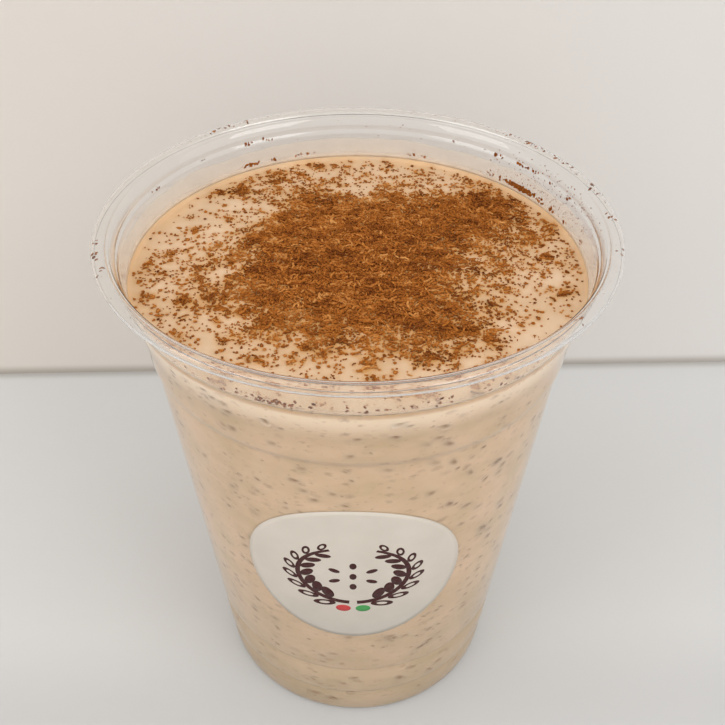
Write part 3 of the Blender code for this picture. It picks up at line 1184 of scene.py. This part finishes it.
cover = stain_map / stain_cell**2
cover = 1.0 * spread_out(cover, 0.00040) + 0.9 * spread_out(cover, 0.0010)
stain = pudding.data.attributes.new("stain", "FLOAT", "POINT")
for point, spot in zip(pudding.data.vertices, stain.data):
    if point.co.z > surface_level - 0.0003:
        column = int(np.clip((point.co.x + contact_radius) / stain_cell, 0, stain_cells - 1))
        row = int(np.clip((point.co.y + contact_radius) / stain_cell, 0, stain_cells - 1))
        spot.value = 1.0 - math.exp(-1.2 * cover[column, row])

# ---------------------------------------------------------------------------------------
# Cinnamon that missed: specks dusted on the bead, specks stuck to the wet inside of the
# wall above the pudding, and a smear of paste where a finger or a spoon touched it.
# ---------------------------------------------------------------------------------------


def inside_line():
    """The inner face of the collar and flare, up to where the bead begins."""
    return side_line + [(0.04520, 0.1127), (0.04524, 0.1132), (0.04556, 0.1140), (0.04590, 0.1146)]


def stuck_on_wall(angle, z, size):
    """A bit on the wall's inner face: its matrix and centre."""
    radius = radius_on(inside_line(), z) - wall / 2
    out = np.array([-math.cos(angle), -math.sin(angle), 0.25])
    out /= np.linalg.norm(out)
    around = np.array([-math.sin(angle), math.cos(angle), 0.0])
    axes = np.column_stack([around, np.cross(out, around), out])
    spin = np.array(Matrix.Rotation(draw.uniform(0.0, math.tau), 3, "Z"))
    centre = np.array([radius * math.cos(angle), radius * math.sin(angle), z]) + out * size * 0.1
    return axes @ spin @ np.diag([size, size * draw.uniform(0.55, 0.95), size * 0.7]), centre


def stuck_on_bead(angle, turn, size):
    """A bit on the bead: turn is 90 degrees on top of it and 0 at its outermost line."""
    centre_radius = mouth_radius - bead_width / 2
    out_share = math.cos(turn)
    up_share = math.sin(turn)
    radius = centre_radius + (bead_width / 2 - size * 0.25) * out_share
    z = cup_height - bead_height / 2 + (bead_height / 2 - size * 0.25) * up_share
    out = np.array([out_share * math.cos(angle), out_share * math.sin(angle), up_share])
    around = np.array([-math.sin(angle), math.cos(angle), 0.0])
    axes = np.column_stack([around, np.cross(out, around), out])
    spin = np.array(Matrix.Rotation(draw.uniform(0.0, math.tau), 3, "Z"))
    centre = np.array([radius * math.cos(angle), radius * math.sin(angle), z])
    return axes @ spin @ np.diag([size, size * draw.uniform(0.55, 0.95), size * 0.5]), centre


draw = np.random.default_rng(8)
bodies = []
# On the bead: the middle angle, how far the bits spread, how many, and the largest size.
for middle, spread, count, largest in (
    (16, 0.8, 4, 0.0015), (28, 2.6, 9, 0.0011), (36, 1.8, 5, 0.0011), (41, 0.8, 4, 0.0012),
    (48, 0.7, 3, 0.0010), (11, 0.8, 3, 0.0010), (1, 1.0, 4, 0.0011), (-14, 1.0, 3, 0.0010),
    (122, 0.6, 3, 0.0010), (126, 0.7, 3, 0.0010), (131, 1.2, 5, 0.0010), (191, 1.0, 3, 0.0010),
    (196, 1.0, 5, 0.0012), (202, 1.0, 4, 0.0011), (320, 3.0, 4, 0.0009), (33, 16, 80, 0.0004),
    (60, 20, 14, 0.0005), (180, 180, 70, 0.0003),
):
    for _ in range(count):
        angle = math.radians(draw.normal(middle, spread))
        turn = math.radians(draw.uniform(35, 125))
        bodies.append(stuck_on_bead(angle, turn, largest * draw.uniform(0.55, 1.0)))
# On the wall: the middle angle, spread, lowest and highest z, how many, largest size.
# Most hang at the edge of the milk film, or sit on the ledge of the crease below the bead.
for middle, spread, low, high, count, largest in (
    (38.5, 3.2, 0.1069, 0.1078, 150, 0.0010), (24.8, 0.6, 0.1070, 0.1077, 7, 0.0011),
    (17.4, 0.6, 0.1070, 0.1074, 4, 0.0010), (7, 0.7, 0.1071, 0.1078, 4, 0.0010),
    (48.9, 0.5, 0.1071, 0.1085, 7, 0.0008), (70.6, 0.5, 0.1071, 0.1075, 4, 0.0009),
    (74.4, 0.5, 0.1071, 0.1076, 5, 0.0009), (105, 0.5, 0.1071, 0.1075, 3, 0.0009),
    (108.3, 0.5, 0.1071, 0.1076, 4, 0.0009), (116.3, 0.6, 0.1071, 0.1076, 5, 0.0010),
    (123.8, 1.6, 0.1071, 0.1077, 26, 0.0009), (47.4, 0.8, 0.1118, 0.1123, 6, 0.0010),
    (40.4, 1.6, 0.1118, 0.1123, 11, 0.0010), (34.7, 0.8, 0.1118, 0.1125, 6, 0.0010),
    (28.4, 0.5, 0.1117, 0.1122, 3, 0.0008), (19.2, 0.5, 0.1117, 0.1124, 4, 0.0011),
    (62.4, 0.5, 0.1118, 0.1121, 2, 0.0008), (116.8, 0.6, 0.1118, 0.1124, 4, 0.0010),
    (123.2, 1.0, 0.1118, 0.1124, 6, 0.0009), (138.2, 0.5, 0.1118, 0.1122, 2, 0.0009),
    (157, 2.0, 0.1118, 0.1121, 4, 0.0008), (22, 13, 0.1068, 0.1145, 220, 0.00045),
    (60, 30, 0.1068, 0.1145, 60, 0.00035), (252, 2.5, 0.1068, 0.1079, 40, 0.0010),
    (278, 24, 0.1066, 0.1085, 46, 0.0011), (180, 180, 0.1066, 0.1145, 90, 0.0003),
):
    for _ in range(count):
        angle = math.radians(draw.normal(middle, spread))
        bodies.append(stuck_on_wall(angle, draw.uniform(low, high), largest * draw.uniform(0.45, 1.0)))
tones = np.clip(draw.normal(0.24, 0.10, len(bodies)), 0.0, 1.0)
specks = joined_bits("cup_specks", bit_shape("chip"), bodies, tones)
specks.data.materials.append(spice_material("stray cinnamon"))
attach(specks, "root")
